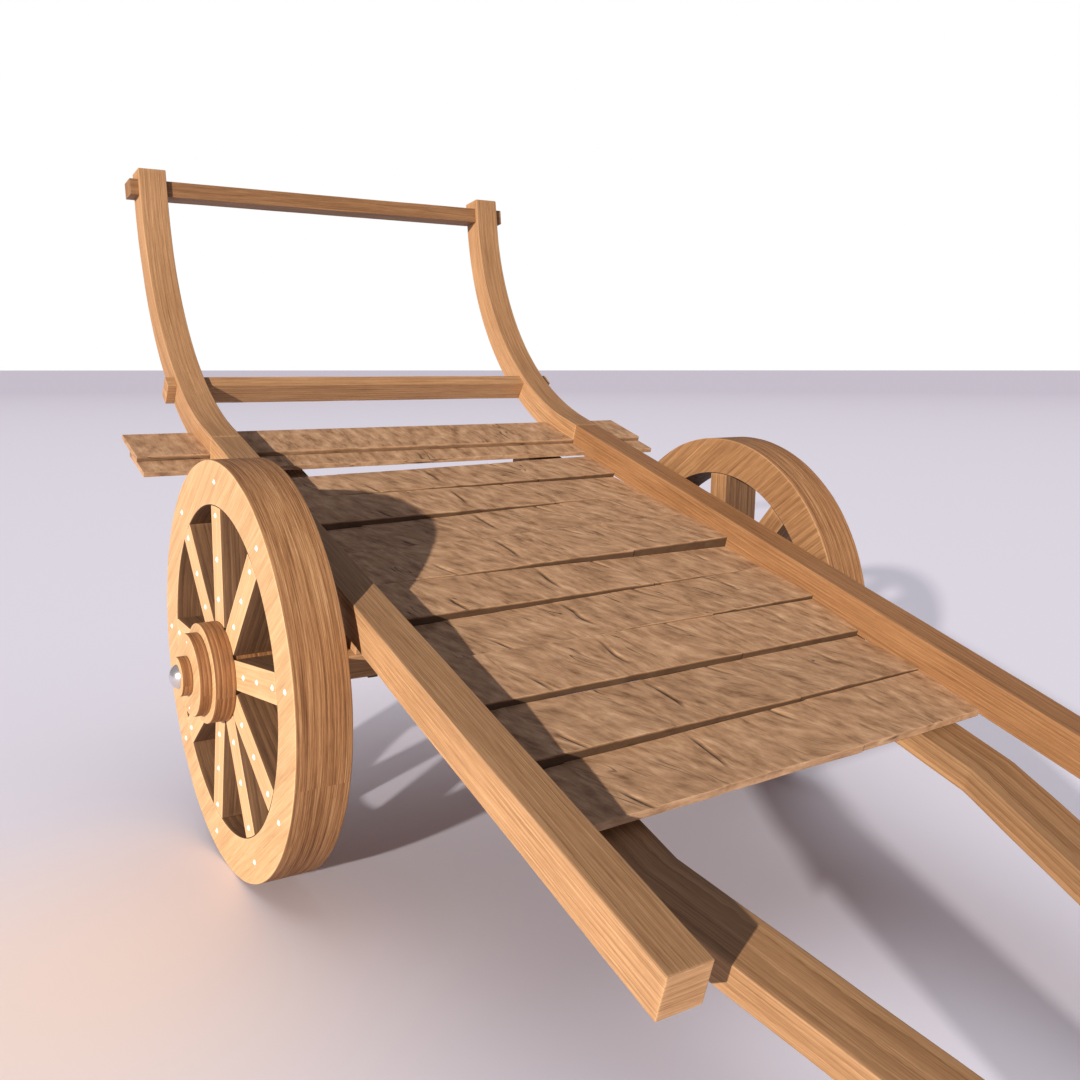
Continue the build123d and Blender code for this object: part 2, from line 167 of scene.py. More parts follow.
def skin_object(name, points, faces, material, fibres, wear, dirt_and_shade=None):
    """A wooden piece made in the level frame, holding the run of its fibres, its wear, and its dirt
    and painted shade.

    The fibres run along the first direction. On a sawn end their lines lie across the timber."""
    made = mesh_object(name, points.tolist(), faces.tolist(), material)
    mesh = made.data
    mesh.validate()
    soften(mesh, 38.0)
    along = fibres[faces]
    sawn_ends = np.ptp(along[:, :, 0], axis=1) < 1e-6
    along[sawn_ends] = along[sawn_ends][:, :, [1, 2, 0]] + (0.0, 0.4, 0.0)
    run = mesh.attributes.new("fibres", "FLOAT_VECTOR", "CORNER")
    run.data.foreach_set("vector", along.astype(np.float32).ravel())
    for key, amount in (("wear", wear), ("dirt_and_shade", np.zeros(len(points)) if dirt_and_shade is None else dirt_and_shade)):
        stored = mesh.attributes.new(key, "FLOAT", "POINT")
        stored.data.foreach_set("value", amount.astype(np.float32))
    made.modifiers.new("flat faces", "WEIGHTED_NORMAL").keep_sharp = True
    return made


def fit_piece(made, body, slot, *nodes):
    """Sets a piece on the ground. It goes with a body and stands for its CAD nodes."""
    made.data.transform(stand)
    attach(made, body)
    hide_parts(*nodes)


class Finish:
    """A material in the making, with short ways to lay one texture over another."""

    def __init__(self, name):
        self.material = bpy.data.materials.new(name)
        self.material.use_nodes = True
        self.tree = self.material.node_tree
        self.shader = self.tree.nodes["Principled BSDF"]

    def feed(self, node, sockets):
        """Gives a node's sockets their numbers, colours or the outputs of other nodes."""
        for key, value in sockets.items():
            socket = node.inputs[key]
            if isinstance(value, bpy.types.NodeSocket):
                self.tree.links.new(value, socket)
            else:
                socket.default_value = (*value, 1.0) if socket.type == "RGBA" else value

    def add(self, kind, sockets, **settings):
        """A new node of this kind, given by its outputs."""
        node = self.tree.nodes.new(kind)
        for key, value in settings.items():
            setattr(node, key, value)
        self.feed(node, sockets)
        return node.outputs

    def reckon(self, operation, first, second=0.0, clamp=False):
        """One sum on two amounts, held between 0 and 1 if clamped."""
        return self.add("ShaderNodeMath", {0: first, 1: second}, operation=operation,
                        use_clamp=clamp)[0]

    def times(self, first, second):
        return self.reckon("MULTIPLY", first, second)

    def total(self, first, *others):
        for other in others:
            first = self.reckon("ADD", first, other)
        return first

    def noise(self, vector, lumps, detail, rough=0.6):
        """Uneven lumps, this many to the metre each way."""
        place = self.add("ShaderNodeVectorMath", {0: vector, 1: lumps}, operation="MULTIPLY")
        return self.add("ShaderNodeTexNoise", {"Vector": place[0], "Scale": 1.0, "Detail": detail,
                                               "Roughness": rough})

    def band(self, amount, low, high, start=0.0, end=1.0, **settings):
        """An amount drawn out so that low becomes start and high becomes end, and no further."""
        return self.add("ShaderNodeMapRange", {"Value": amount, "From Min": low, "From Max": high,
                                               "To Min": start, "To Max": end}, **settings)[0]

    def ramp(self, amount, places, colours):
        """The colours one after another, each pure at its place on the amount."""
        output = self.add("ShaderNodeValToRGB", {"Fac": amount})["Color"]
        stops = output.node.color_ramp.elements
        stops[0].position = places[0]
        stops[1].position = places[-1]
        for place in places[1:-1]:
            stops.new(place)
        for stop, colour in zip(stops, colours):
            stop.color = (*colour, 1.0)
        return output

    def tinted(self, amount, colour, other):
        """A colour that turns into another as the amount goes from 0 to 1."""
        return self.add("ShaderNodeMix", {"Factor": amount, "A": colour, "B": other},
                        data_type="RGBA")["Result"]

    def emboss(self, height, strength, depth):
        """Raises the surface with the height, as deep as this in metres."""
        bump = self.add("ShaderNodeBump", {"Height": height, "Strength": strength,
                                           "Distance": depth})
        self.feed(self.shader, {"Normal": bump["Normal"]})


def wood(name, tones, ring_spacing, ring_share, streak_share, rough, checks=0.0, relief=0.0005,
         blotches_per_metre=(2.6, 13.0, 13.0), streaks_across=190.0, streaks_along=5.0):
    """Sawn wood: rings round a far-off pith, long fibres, pores, blotches and drying checks.

    tones run from the dark late wood to the pale early wood. The shares say how much of the
    colour the rings and the streaks decide, and the blotches decide the rest."""
    finish = Finish(name)
    fibres, wear, dirt_and_shade = [finish.add("ShaderNodeAttribute", {}, attribute_name=key)
                          for key in ("fibres", "wear", "dirt_and_shade")]
    fibres, wear, dirt_and_shade = fibres["Vector"], wear["Fac"], dirt_and_shade["Fac"]
    wander = finish.noise(fibres, (1.3, 5.0, 5.0), 2.0, rough=0.5)["Color"]
    bent = finish.add("ShaderNodeVectorMath", {0: wander, 1: (0.0, 0.02, 0.02), 2: fibres},
                      operation="MULTIPLY_ADD")[0]
    rings = finish.add("ShaderNodeTexWave", {
        "Vector": bent, "Scale": math.tau / (20 * ring_spacing), "Distortion": 0.6, "Detail": 2.0,
        "Detail Scale": 2.0}, wave_type="RINGS", rings_direction="X", wave_profile="SAW")["Fac"]
    streaks = finish.noise(bent, (streaks_along, streaks_across, streaks_across), 3.0)[0]
    hairs = finish.noise(fibres, (24.0, 900.0, 900.0), 2.0)[0]
    blotches = finish.noise(bent, blotches_per_metre, 6.0)[0]
    blotch_share = 1.0 - ring_share - streak_share
    figure = finish.total(finish.times(rings, ring_share),
                          finish.times(finish.band(streaks, 0.3, 0.7), streak_share),
                          finish.times(finish.band(blotches, 0.25, 0.75), blotch_share))
    figure = finish.reckon("ADD", figure, finish.band(hairs, 0.3, 0.7, -0.12, 0.12), clamp=True)
    darkest, palest = 0.12, 0.9
    places = [darkest + (palest - darkest) * step / (len(tones) - 1) for step in range(len(tones))]
    colour = finish.ramp(figure, places, tones)

    pores = finish.band(finish.noise(fibres, (60.0, 1500.0, 1500.0), 1.0)[0], 0.62, 0.72)
    off_crack = finish.noise(bent, (3.2, 24.0, 24.0), 2.0)[0]
    off_crack = finish.reckon("ABSOLUTE", finish.reckon("SUBTRACT", off_crack, 0.5))
    crack_place = finish.noise(fibres, (5.0, 9.0, 9.0), 2.0)[0]
    split = finish.times(finish.band(off_crack, 0.004, 0.016, 1.0, 0.0),
                         finish.band(crack_place, 0.56, 0.66, 0.0, checks))
    pore_depth, wear_depth, split_depth = 0.35, 0.38, 0.8
    dark = tuple(0.28 * channel for channel in tones[0])
    pale = tuple(min(1.0, 1.18 * channel + 0.02) for channel in tones[-1])
    colour = finish.tinted(finish.times(pores, pore_depth), colour, tones[0])
    colour = finish.tinted(finish.reckon("MULTIPLY", wear, wear_depth, clamp=True), colour, pale)
    colour = finish.tinted(finish.times(split, split_depth), colour, dark)
    # Dirt and painted shade darken the colour.
    colour = finish.tinted(dirt_and_shade, colour, dark)
    finish.feed(finish.shader, {
        "Base Color": colour, "Specular IOR Level": 0.3,
        "Roughness": finish.band(streaks, 0.3, 0.7, rough + 0.08, rough - 0.08)})
    height = finish.total(*[finish.times(layer, share) for layer, share in (
        (streaks, 0.6), (hairs, 0.35), (rings, 0.25), (pores, -0.4), (split, -2.5))])
    finish.emboss(height, 0.7, relief)
    return finish.material


def turned_profile(outline, ease):
    """Rounds the corners of a closed outline of (distance along the axle, radius)."""
    rounded = []
    wear = []
    steps = 4
    widest_gap = 0.012
    for number, corner in enumerate(outline):
        corner = np.array(corner)
        before = np.array(outline[number - 1])
        after = np.array(outline[(number + 1) % len(outline)])
        to_before = (before - corner) / np.linalg.norm(before - corner)
        to_after = (after - corner) / np.linalg.norm(after - corner)
        start, end = corner + to_before * ease, corner + to_after * ease
        for step in range(steps + 1):
            share = step / steps
            rounded.append((1 - share) ** 2 * start + 2 * share * (1 - share) * corner
                           + share ** 2 * end)
            wear.append(math.sin(math.pi * share) * 0.8 + 0.2)
        length = np.linalg.norm(after - corner) - 2 * ease
        between = max(1, round(length / widest_gap))
        for part in range(1, between):
            rounded.append(corner + to_after * (ease + length * part / between))
            wear.append(0.0)
    return np.array(rounded), np.array(wear)


def ring_outline(near, far, bore, radius):
    """The cut through a plain ring, between two distances along the axle."""
    return [(near, bore), (far, bore), (far, radius), (near, radius)]


def turned_skin(outline, side, ease, sectors, hollow, seed):
    """A ring turned about the axle on one side of the cart. Its skin faces outwards."""
    profile, wear = turned_profile(outline, ease)
    turn = np.repeat(np.linspace(0, math.tau, sectors, endpoint=False)[:, None], len(profile), axis=1)
    along = np.repeat(profile[None, :, 0], sectors, axis=0)
    radius = np.repeat(profile[None, :, 1], sectors, axis=0)
    points = np.stack([along, radius * np.cos(turn), radius * np.sin(turn)], axis=-1).reshape(-1, 3)
    inward = profile.mean(axis=0) - profile
    inward /= np.linalg.norm(inward, axis=1, keepdims=True)
    push = hollow * (0.5 + 0.5 * ripple(points, 0.06, seed)).reshape(sectors, -1)
    points += np.stack([push * inward[:, 0], push * inward[:, 1] * np.cos(turn),
                        push * inward[:, 1] * np.sin(turn)], axis=-1).reshape(-1, 3)
    index = np.arange(sectors * len(profile)).reshape(sectors, -1)
    index = np.vstack([index, index[:1]])
    index = np.hstack([index, index[:, :1]])
    worn = np.tile(wear, sectors) * (0.7 + 0.3 * ripple(points, 0.05, seed + 1))
    return points * (side, 1, 1), sheet_of_quads(index, True)[:, ::side], worn


def shade(tones, red, green, blue):
    """The tones of a paler, darker or redder tree, and on the rails the same tones painted lighter or
    darker as light and shade.
    """
    return [tuple(min(0.95, a * b) for a, b in zip(tone, (red, green, blue))) for tone in tones]


def frame_timber(name, *tint):
    """Planed timber of the cart's frame, tinted a little for the tree it came from, and on the rails
    tinted further as painted light and shade.
    """
    return wood(name, shade(frame_tones, *tint), ring_spacing=0.0085, ring_share=0.2,
                streak_share=0.5, rough=0.64, blotches_per_metre=(2.6, 16.0, 16.0),
                streaks_across=380.0, streaks_along=4.5)


def place_block(low, high, axis_order, spacing, edge, hollow, seed):
    """A squared timber standing in the box between two corners, with its length along the first
    of the three axes given."""
    order = list(axis_order)
    worked, stock, faces, wear = squared_timber((high - low)[order], spacing, edge, hollow, seed)
    points = np.empty_like(worked)
    points[:, order] = worked + low[order]
    if axis_order == (1, 0, 2):
        faces = faces[:, ::-1]
    fibres = stock + (seed * 0.71, 0.05 + 0.013 * (seed % 7), 0.09 + 0.017 * (seed % 5))
    return points, faces, fibres, wear


frame_tones = [(0.215, 0.108, 0.046), (0.33, 0.178, 0.083), (0.44, 0.25, 0.125),
               (0.55, 0.335, 0.175)]
frame_wood = frame_timber("planed frame timber", 1.0, 0.98, 0.95)
beam_low, beam_high = level_box("axle_beam")
beam_points = level_points("axle_beam")
off_axis = np.hypot(beam_points[:, 1], beam_points[:, 2])
arm_radius = off_axis[np.abs(beam_points[:, 0]) > beam_high[0] - 0.001].max()
beam_end = np.abs(beam_points[off_axis > 1.05 * arm_radius][:, 0]).max()
arm_bore = 0.0082
arm_root = 0.01
parts = [place_block(np.array([-beam_end, *beam_low[1:]]), np.array([beam_end, *beam_high[1:]]),
                     (0, 1, 2), spacing=(0.02, 0.012), edge=0.006, hollow=0.0008, seed=11)]
for side in SIDES.values():
    arm = ring_outline(beam_end - arm_root, beam_high[0], arm_bore, arm_radius)
    points, faces, wear = turned_skin(arm, side, ease=0.0015, sectors=64, hollow=0.0, seed=12)
    parts.append((points, faces, points + (0.3, 0.2, 0.1), wear))
starts = np.cumsum([0] + [len(points) for points, *_ in parts])
points, faces, fibres, wear = zip(*parts)
faces = [rows + start for rows, start in zip(faces, starts)]
beam = skin_object("axle_beam_timber", np.concatenate(points), np.concatenate(faces), frame_wood,
                   np.concatenate(fibres), np.concatenate(wear))
fit_piece(beam, "cart", "frame_timber", "axle_beam")

# ---- Blocks on the axle -------------------------------------------------------------------
# Four short billets of the frame timber. They carry the shafts and the rails at their heights
# above the axle beam, and stand with their grain along the cart.
for number, node in enumerate(["shaft_block_left", "shaft_block_right",
                               "rail_block_left", "rail_block_right"]):
    points, faces, fibres, wear = place_block(*level_box(node), (1, 0, 2), spacing=(0.012, 0.012),
                                              edge=0.004, hollow=0.0006, seed=21 + number)
    block = skin_object(node + "_billet", points, faces, frame_wood, fibres, wear)
    fit_piece(block, "cart", "frame_timber", node)

# ---- Shafts -------------------------------------------------------------------------------
# Two long timbers under the bed, each sawn with a bend in front of the deck, so that both run
# towards each other in front. Rubbed dark by hands and harness along their inner edge.
shaft_width = 0.1285
shaft_kink = -1.151
shaft_angle = math.radians(13.6)
kink_shift = shaft_width * math.tan(shaft_angle / 2)
rubbed_width = 0.03
rubbed_above = 0.02
shaft_wood = wood("shaft timber", shade(frame_tones, 0.86, 0.84, 0.8), ring_spacing=0.017,
                  ring_share=0.3, streak_share=0.4, rough=0.62,
                  blotches_per_metre=(2.0, 20.0, 20.0), streaks_across=300.0, streaks_along=3.5)
for side_name, side in SIDES.items():
    node = f"shaft_{side_name}"
    low, high = level_box(node)
    kinks = [shaft_kink - low[1], shaft_kink - kink_shift - low[1]]
    worked, stock, faces, wear = squared_timber(
        (high[1] - low[1], shaft_width, high[2] - low[2]), spacing=(0.012, 0.011), edge=0.0045,
        hollow=0.0007, seed=31 + side, extra=kinks)
    y = worked[:, 0] + low[1]
    outer = max(abs(low[0]), abs(high[0]))
    inner = outer - shaft_width - np.clip(shaft_kink - y, 0, None) * math.tan(shaft_angle)
    outer = outer - np.clip(shaft_kink - kink_shift - y, 0, None) * math.tan(shaft_angle)
    x = side * (inner + (outer - inner) * worked[:, 1] / shaft_width)
    points = np.stack([x, y, worked[:, 2] + low[2]], axis=1)
    rubbed = np.clip(1 - stock[:, 1] / rubbed_width, 0, 1) * (stock[:, 2] > rubbed_above)
    rubbed *= 0.42 * np.clip(0.75 + 0.4 * ripple(stock, (0.3, 0.05, 0.05), 35), 0, 1)
    # Painted shade: the right shaft is darkened a little all over.
    right_shaft_shade = 0.1 * (side > 0)
    shaft = skin_object(node + "_timber", points, faces[:, ::-side], shaft_wood,
                        stock + (side * 2.1, 0.03, 0.14), wear * 0.7,
                        np.maximum(rubbed, right_shaft_shade))
    fit_piece(shaft, "cart", "frame_timber", node)

# ---- Bolts and dowels on the axle ---------------------------------------------------------
# Black iron bolts hold each shaft and its block to the beam, over a square washer and nut.
# Riven oak dowels do the same under the rails. Their CAD shapes are right and stay.
def patchy(name, base, worn, rough, metal, patch):
    """A hard plain finish with worn patches of this size in metres, and pits between them."""
    finish = Finish(name)
    place = finish.add("ShaderNodeTexCoord", {})["Object"]
    patches = finish.add("ShaderNodeTexNoise", {"Vector": place, "Scale": 1 / patch,
                                                "Detail": 4.0})[0]
    pits = finish.add("ShaderNodeTexVoronoi", {"Vector": place, "Scale": 4 / patch})["Distance"]
    finish.feed(finish.shader, {
        "Base Color": finish.ramp(patches, (0.35, 0.7), (base, worn)), "Metallic": metal,
        "Roughness": finish.band(patches, 0.0, 1.0, rough + 0.1, rough - 0.1)})
    finish.emboss(pits, 0.25, 0.0004)
    return finish.material


def finish_node(node, material, ease):
    """A CAD node that is shown as it is, with its edges broken and a better finish."""
    shown = frame["nodes"][node]
    for holder in shown.material_slots:
        holder.material = material
    edge = shown.modifiers.new("broken edges", "BEVEL")
    edge.width = ease
    edge.segments = 2
    edge.limit_method = "ANGLE"
    edge.angle_limit = math.radians(40)


iron = patchy("black iron", base=(0.03, 0.027, 0.025), worn=(0.1, 0.085, 0.075), rough=0.5,
              metal=0.9, patch=0.01)
peg_wood = patchy("riven oak", base=(0.2, 0.1, 0.045), worn=(0.3, 0.15, 0.0675), rough=0.65,
                  metal=0.0, patch=0.006)
finish_node("axle_bolts", iron, 0.001)
finish_node("rail_dowels", peg_wood, 0.0008)

# ---- Side rails ---------------------------------------------------------------------------
# The two square timbers that the deck is framed between. They are notched from below where the
# rear boards pass through, and end square at the front with their end grain open.
board_low, board_high = level_box("rear_board_lower")
upper_low, upper_high = level_box("rear_board_upper")
board_fit = 0.0002


def upright_walls(*places):
    """Two rows of corners close together at each place, so that a notch has an upright wall."""
    gap = 0.0004
    return [place + shift for place in places for shift in (-gap, gap)]


def on_top(stock, height):
    """1 on the top face of a timber, falling to nothing a twelfth of its height below."""
    return np.clip(stock[:, 2] / height * 12 - 11, 0, 1)


# Painted light and shade: the same frame timber is lighter on the left rail, nearer the light, and
# darker on the right rail.
rail_woods = {"left": frame_timber("rail timber painted lighter", 1.14, 1.15, 1.14),
              "right": frame_timber("rail timber painted darker", 0.75, 0.66, 0.57)}
for side_name, side in SIDES.items():
    node = f"rail_{side_name}"
    low, high = level_box(node)
    worked, stock, faces, wear = squared_timber(
        (high - low)[[1, 0, 2]], spacing=(0.011, 0.0095), edge=0.004, hollow=0.0009,
        seed=41 + side, extra=upright_walls(board_low[1] - board_fit - low[1]))
    x, y, z = worked[:, 1] + low[0], worked[:, 0] + low[1], worked[:, 2] + low[2]
    under_lower = (y > board_low[1] - board_fit) & (y < upper_low[1] - board_fit)
    under_upper = (y >= upper_low[1] - board_fit) & (y < board_high[1] + board_fit)
    z = np.where(under_lower, np.maximum(z, board_high[2] + board_fit), z)
    z = np.where(under_upper, np.maximum(z, upper_high[2] + board_fit), z)
    # Painted shade: the left rail's top face is darkened, and the right rail's inner face a little.
    if side < 0:
        painted_shade_mask = 0.33 * on_top(stock, high[2] - low[2])
    else:
        painted_shade_mask = 0.1 * np.clip(1 - stock[:, 1] / 0.008, 0, 1)
    rail = skin_object(node + "_timber", np.stack([x, y, z], axis=1), faces[:, ::-1],
                       rail_woods[side_name], stock + (side * 3.3, 0.06, 0.05 + 0.02 * side),
                       wear * 0.6, painted_shade_mask)
    fit_piece(rail, "cart", "frame_timber", node)

# ---- Deck planks --------------------------------------------------------------------------
# Nine rough-sawn boards laid across the shafts. Each has cupped and twisted on its own, so that
# no two corners agree, and each has split where it dried out.
deck_tones = [(0.19, 0.098, 0.048), (0.36, 0.207, 0.112), (0.49, 0.298, 0.17), (0.63, 0.42, 0.26)]
deck_wood = wood("weathered deck board", deck_tones, ring_spacing=0.03, ring_share=0.05,
                 streak_share=0.13, rough=0.76, checks=1.0, relief=0.0004,
                 blotches_per_metre=(18.0, 36.0, 36.0), streaks_across=260.0, streaks_along=22.0)
plank_thickness = 0.02
tuck = 0.004
raised_grain, cupping = 0.0007, 0.0018
# Each split: how far from the middle of the board, where across the board it starts and ends,
# how far it leans as it goes back, and how dark it is.
deck_splits = [(-0.41, -0.1, 0.42, -0.38, 0.9), (-0.26, 0.55, 0.8, -0.3, 0.55),
               (-0.15, 0.24, 0.95, -0.06, 0.95), (0.07, 0.66, 1.1, -0.5, 0.9),
               (0.24, 0.1, 0.38, -0.35, 0.6), (0.37, 0.45, 0.86, -0.2, 0.7)]
split_width = 0.0046
split_depth = 0.005
split_reach = 0.055


def plank_corners(node, low, high):
    """A plank's eight corners, by left or right end, front or rear, and under or top."""
    points = level_points(node)
    corners = np.empty((2, 2, 2, 3))
    for end, x in enumerate((low[0], high[0])):
        at_end = points[np.abs(points[:, 0] - x) < 0.001]
        middle_y = (at_end[:, 1].min() + at_end[:, 1].max()) / 2
        for edge, chosen in enumerate((at_end[:, 1] < middle_y, at_end[:, 1] >= middle_y)):
            side = at_end[chosen]
            corners[end, edge, 0] = side[side[:, 2].argmin()]
            corners[end, edge, 1] = side[side[:, 2].argmax()]
    return corners


def front_edge(stock, below):
    """1 on the front edge of a board, up to this height."""
    return np.clip(1 - stock[:, 1] / 0.002, 0, 1) * (stock[:, 2] < below)


def split_centres(length, number):
    """Where the splits lie along a plank. They wander from plank to plank."""
    return [length / 2 + where + 0.014 * (number - 1) + 0.02 * math.sin(2.3 * number + 1.7 * which)
            for which, (where, *_) in enumerate(deck_splits)]


def split_plank(stock, width, length, number):
    """How dark each corner of a plank is with splits, and how far the wood gave way along it."""
    dirt_and_shade = np.zeros(len(stock))
    shift = np.zeros(len(stock))
    across = stock[:, 1] / width
    for centre, (_, start, end, lean, darkness) in zip(split_centres(length, number), deck_splits):
        off_line = np.abs(stock[:, 0] - centre)
        inside = np.clip(np.minimum(across - start, end - across) / 0.2, 0, 1)
        inside *= 0.75 + 0.25 * ripple(stock, (1.0, 0.02, 1.0), 65 + number)
        near = np.clip(1.45 - off_line / (split_width * 1.25), 0, 1)
        dirt_and_shade = np.maximum(dirt_and_shade, darkness * near * inside)
        pull = np.clip(1.15 - off_line / split_reach, 0, 1)
        shift += pull * 0.004 * ripple(stock * (0, 1, 0), 0.045, 60 + number)
        shift += pull * lean * (stock[:, 1] - width * (start + end) / 2)
    return dirt_and_shade, shift


# The under side of each front edge is tucked below the plank in front, so that no gap shows.
rear_tops = None
for number in range(1, 10):
    node = f"deck_plank_{number}"
    low, high = level_box(node)
    corners = plank_corners(node, low, high)
    if rear_tops is not None:
        corners[:, 0, 0, 2] = np.minimum(corners[:, 0, 0, 2], rear_tops - tuck)
    rear_tops = corners[:, 1, 1, 2].copy()
    length = high[0] - low[0]
    width = (corners[:, 1, 1, 1] - corners[:, 0, 1, 1]).mean()
    lines = [centre + step * split_width for centre in split_centres(length, number)
             for step in (-1.6, -0.7, 0, 0.7, 1.6)]
    worked, stock, faces, wear = squared_timber(
        (length, width, plank_thickness), spacing=(0.0085, 0.0065), edge=0.0022, hollow=0.0006,
        seed=50 + number, extra=lines)
    upper_half = np.clip(stock[:, 2] / plank_thickness * 2 - 1, 0, 1)
    dirt_and_shade, shift = split_plank(stock, width, length, number)
    dirt_and_shade = dirt_and_shade * upper_half
    # Painted shade: the front face of every board but the first is darkened, where it rises from the
    # board in front.
    if number > 1:
        dirt_and_shade = np.maximum(dirt_and_shade, 0.88 * front_edge(stock, plank_thickness - 0.0012))
        wear = wear * (stock[:, 1] > 0.004)
    share = worked / (length, width, plank_thickness)
    sunk = raised_grain * (0.5 + 0.5 * ripple(stock, (0.018, 0.11, 0.5), 70 + number))
    sunk += cupping * (0.5 + 0.5 * ripple(stock, (0.16, 0.1, 0.5), 80 + number))
    points = np.zeros_like(worked)
    for corner in np.ndindex(2, 2, 2):
        weight = np.where(np.array(corner) == 1, share, 1 - share).prod(axis=-1)
        points += weight[:, None] * corners[corner]
    points[:, 0] = np.clip(points[:, 0] + shift, low[0], high[0])
    points[:, 2] -= upper_half * (sunk + split_depth * dirt_and_shade)
    fibres = np.stack([stock[:, 1] + 0.6 * number, stock[:, 0] + 0.3 * stock[:, 1] + 0.05,
                       stock[:, 2] + 0.1 + 0.011 * number], axis=1)
    plank = skin_object(node + "_board", points, faces, deck_wood, fibres, wear * 0.5, dirt_and_shade)
    fit_piece(plank, "cart", "deck_board", node)

# ---- Rear boards --------------------------------------------------------------------------
# Two thin boards that lie across the tail in notches through both rails and horns, the upper
# one lapped over the lower. Their ends stand out past the wheels as rests for long loads.
lapped_height = 0.013
for number, node in enumerate(["rear_board_lower", "rear_board_upper"]):
    low, high = level_box(node)
    points, faces, fibres, wear = place_block(low, high, (0, 1, 2), spacing=(0.009, 0.007),
                                              edge=0.002, hollow=0.0007, seed=91 + number)
    # Painted shade on the lower part of the upper board's front face, where it laps over the lower
    # board.
    darkness = 0.7 * number
    board = skin_object(node + "_plank", points, faces, deck_wood, fibres[:, [1, 0, 2]],
                        wear * 0.4, darkness * front_edge(points - low, lapped_height))
    fit_piece(board, "cart", "deck_board", node)

# ---- Horns --------------------------------------------------------------------------------
# Bent timbers of the rails' own section, tenoned into the rails and swept up into the tail.
# The fibres follow the bend. The crossbars are let into their backs.
horn_straight = 0.08
horn_radius = 0.85
horn_bend = math.radians(66)
horn_tip = 0.1
bar_inset = 0.0145
upper_bar_drop = 0.032
upper_bar_height = 0.052
lower_bar_height = 0.044
lower_bar_angle = math.radians(20.7)
rail_low, rail_high = level_box("rail_right")
horn_depth = rail_high[2] - rail_low[2]
bend_length = horn_radius * horn_bend
horn_length = horn_straight + bend_length + horn_tip
lower_bar_middle = horn_straight + horn_radius * lower_bar_angle
upper_bar_middle = horn_length - upper_bar_drop - upper_bar_height / 2
bar_spans = [(lower_bar_middle - lower_bar_height / 2, lower_bar_middle + lower_bar_height / 2),
             (upper_bar_middle - upper_bar_height / 2, upper_bar_middle + upper_bar_height / 2)]
notch_end = board_high[1] + board_fit - rail_high[1]


def along_horn(distance, depth):
    """Place in the cart's side view, this far along the horn's top and this deep under it."""
    bend = np.clip((distance - horn_straight) / horn_radius, 0, horn_bend)
    before = np.clip(distance, None, horn_straight)
    after = np.clip(distance - horn_straight - bend_length, 0, None)
    reach = horn_radius + depth
    y = rail_high[1] + before + reach * np.sin(bend) + after * np.cos(bend)
    z = rail_high[2] + horn_radius - reach * np.cos(bend) + after * np.sin(bend)
    return y, z


for side_name, side in SIDES.items():
    node = f"horn_{side_name}"
    low, high = level_box(node)
    worked, stock, faces, wear = squared_timber(
        (horn_length, high[0] - low[0], horn_depth), spacing=(0.011, 0.0095), edge=0.004,
        hollow=0.0009, seed=101 + side, extra=upright_walls(*sum(bar_spans, ()), notch_end))
    depth = horn_depth - worked[:, 2]
    for start, end in bar_spans:
        let_in = (stock[:, 0] > start) & (stock[:, 0] < end)
        depth = np.where(let_in, np.minimum(depth, bar_inset), depth)
    y, z = along_horn(worked[:, 0], depth)
    z = np.where(stock[:, 0] < notch_end, np.maximum(z, upper_high[2] + board_fit), z)
    points = np.stack([worked[:, 1] + low[0], y, z], axis=1)
    # Painted shade on the horns' top faces, a little deeper on the right horn.
    painted_shade_mask = (0.14 + 0.05 * side) * on_top(stock, horn_depth)
    horn = skin_object(node + "_timber", points, faces[:, ::-1], frame_wood,
                       stock + (side * 4.7, 0.07, 0.06), wear * 0.7, painted_shade_mask)
    fit_piece(horn, "cart", "frame_timber", node)

# ---- Crossbars and their pegs -------------------------------------------------------------
# Two light bars across the tail, pegged from behind through the horns. They stand a little past
# each horn, where their sawn end grain shows.
bar_woods = [frame_wood, frame_timber("dark crossbar", 0.62, 0.56, 0.5)]
for number, (node, span) in enumerate(zip(("lower_crossbar", "upper_crossbar"), bar_spans)):
    low, high = level_box(node)
    height = span[1] - span[0]
    worked, stock, faces, wear = squared_timber(
        (high[0] - low[0], height, horn_depth - bar_inset), spacing=(0.011, 0.009), edge=0.0035,
        hollow=0.0008, seed=111 + number)
    middle = (span[0] + span[1]) / 2
    bend = min((middle - horn_straight) / horn_radius, horn_bend)
    base_y, base_z = along_horn(middle, horn_depth)
    rise = worked[:, 1] - height / 2
    y = base_y + rise * math.cos(bend) - worked[:, 2] * math.sin(bend)
    z = base_z + rise * math.sin(bend) + worked[:, 2] * math.cos(bend)
    bar = skin_object(node + "_bar", np.stack([worked[:, 0] + low[0], y, z], axis=1), faces,
                      bar_woods[number], stock + (7.7 + number, 0.03, 0.11), wear * 0.5)
    fit_piece(bar, "cart", "frame_timber", node)
finish_node("crossbar_pegs", peg_wood, 0.0008)

